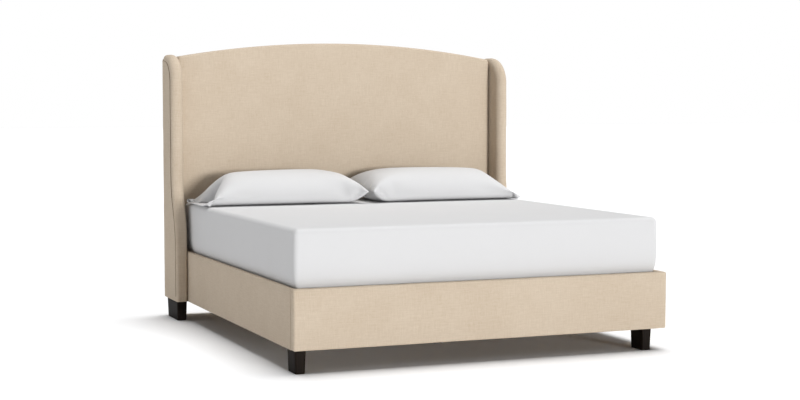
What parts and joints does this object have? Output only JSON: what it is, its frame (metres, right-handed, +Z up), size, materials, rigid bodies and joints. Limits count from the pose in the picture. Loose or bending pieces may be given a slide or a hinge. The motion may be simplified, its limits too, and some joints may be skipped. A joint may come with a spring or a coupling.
{
  "type": "upholstered headboard bed",
  "caption": "King-size bed with an arched upholstered headboard between two padded wings, a fabric-covered box rail on short dark tapered legs, slats, mattress in a fitted sheet and pillows.",
  "frame": {"origin": "on the floor under the middle of the bed's overall box", "axes": "+Z up, +Y towards the headboard, +X towards the sleeper's left when lying on the back with the head at the headboard"},
  "size_m": [2.112, 2.22, 1.596],
  "materials": {
    "linen": "matte",
    "foam": "matte",
    "plywood": "matte",
    "pine": "matte",
    "espresso": "satin",
    "lining": "matte",
    "steel": "satin",
    "nylon": "matte",
    "webbing": "matte",
    "ticking": "matte",
    "cotton": "matte"
  },
  "bodies": {
    "root": {"headboard_front_cover": "linen", "foot_rail_cover": "linen", "wing_cover_left": "linen", "wing_cover_right": "linen", "side_rail_cover_left": "linen", "side_rail_cover_right": "linen", "headboard_foam": "foam", "wing_padding_left": "foam", "wing_padding_right": "foam", "headboard_panel": "plywood", "wing_board_left": "plywood", "wing_board_right": "plywood", "side_rail_board_left": "plywood", "side_rail_board_right": "plywood", "headboard_top_rail": "pine", "headboard_bottom_rail": "pine", "headboard_post_left": "pine", "headboard_post_right": "pine", "foot_rail_board": "pine", "side_ledger_left": "pine", "side_ledger_right": "pine", "corner_block_left": "pine", "corner_block_right": "pine", "centre_beam": "pine", "centre_leg_1": "pine", "centre_leg_2": "pine", "headboard_back_cover": "lining", "leg_front_left": "espresso", "leg_front_right": "espresso", "leg_back_left": "espresso", "leg_back_right": "espresso", "rail_bracket_left": "steel", "rail_bracket_right": "steel", "beam_shoe_foot": "steel", "beam_shoe_head": "steel"},
    "foot_screw_1": {"foot_screw_1": "steel"},
    "foot_pad_1": {"foot_pad_1": "nylon"},
    "foot_screw_2": {"foot_screw_2": "steel"},
    "foot_pad_2": {"foot_pad_2": "nylon"},
    "slat_roll": {"slat_01": "pine", "slat_02": "pine", "slat_03": "pine", "slat_04": "pine", "slat_05": "pine", "slat_06": "pine", "slat_07": "pine", "slat_08": "pine", "slat_09": "pine", "slat_10": "pine", "slat_11": "pine", "slat_12": "pine", "slat_strap_left": "webbing", "slat_strap_right": "webbing"},
    "mattress": {"mattress": "ticking", "fitted_sheet": "cotton"},
    "pillow_left": {"pillow_left": "cotton", "pillowcase_left": "cotton"},
    "pillow_right": {"pillow_right": "cotton", "pillowcase_right": "cotton"}
  },
  "joints": [
    {"name": "slat_roll_lift", "type": "slide", "parent": "root", "child": "slat_roll", "axis": [0, 0, 1], "range_m": [0, 0.25]},
    {"name": "mattress_lift", "type": "slide", "parent": "slat_roll", "child": "mattress", "axis": [0, 0, 1], "range_m": [0, 0.4]},
    {"name": "pillow_left_lift", "type": "slide", "parent": "mattress", "child": "pillow_left", "axis": [0, 0, 1], "range_m": [0, 0.35]},
    {"name": "pillow_right_lift", "type": "slide", "parent": "mattress", "child": "pillow_right", "axis": [0, 0, 1], "range_m": [0, 0.35]},
    {"name": "foot_pad_1_slide", "type": "slide", "parent": "root", "child": "foot_pad_1", "axis": [0, 0, 1], "range_m": [-0.009, 0.0105]},
    {"name": "foot_screw_1_turn", "type": "hinge", "parent": "foot_pad_1", "child": "foot_screw_1", "pos_m": [0, -0.48, 0.05], "axis": [0, 0, 1], "range_deg": [-2162, 2522]},
    {"name": "foot_pad_2_slide", "type": "slide", "parent": "root", "child": "foot_pad_2", "axis": [0, 0, 1], "range_m": [-0.009, 0.0105]},
    {"name": "foot_screw_2_turn", "type": "hinge", "parent": "foot_pad_2", "child": "foot_screw_2", "pos_m": [0, 0.42, 0.05], "axis": [0, 0, 1], "range_deg": [-2162, 2522]}
  ],
  "couplings": [
    {"joint": "foot_screw_1_turn", "follows": "foot_pad_1_slide", "rad_per_m": 4188.8},
    {"joint": "foot_screw_2_turn", "follows": "foot_pad_2_slide", "rad_per_m": 4188.8}
  ]
}
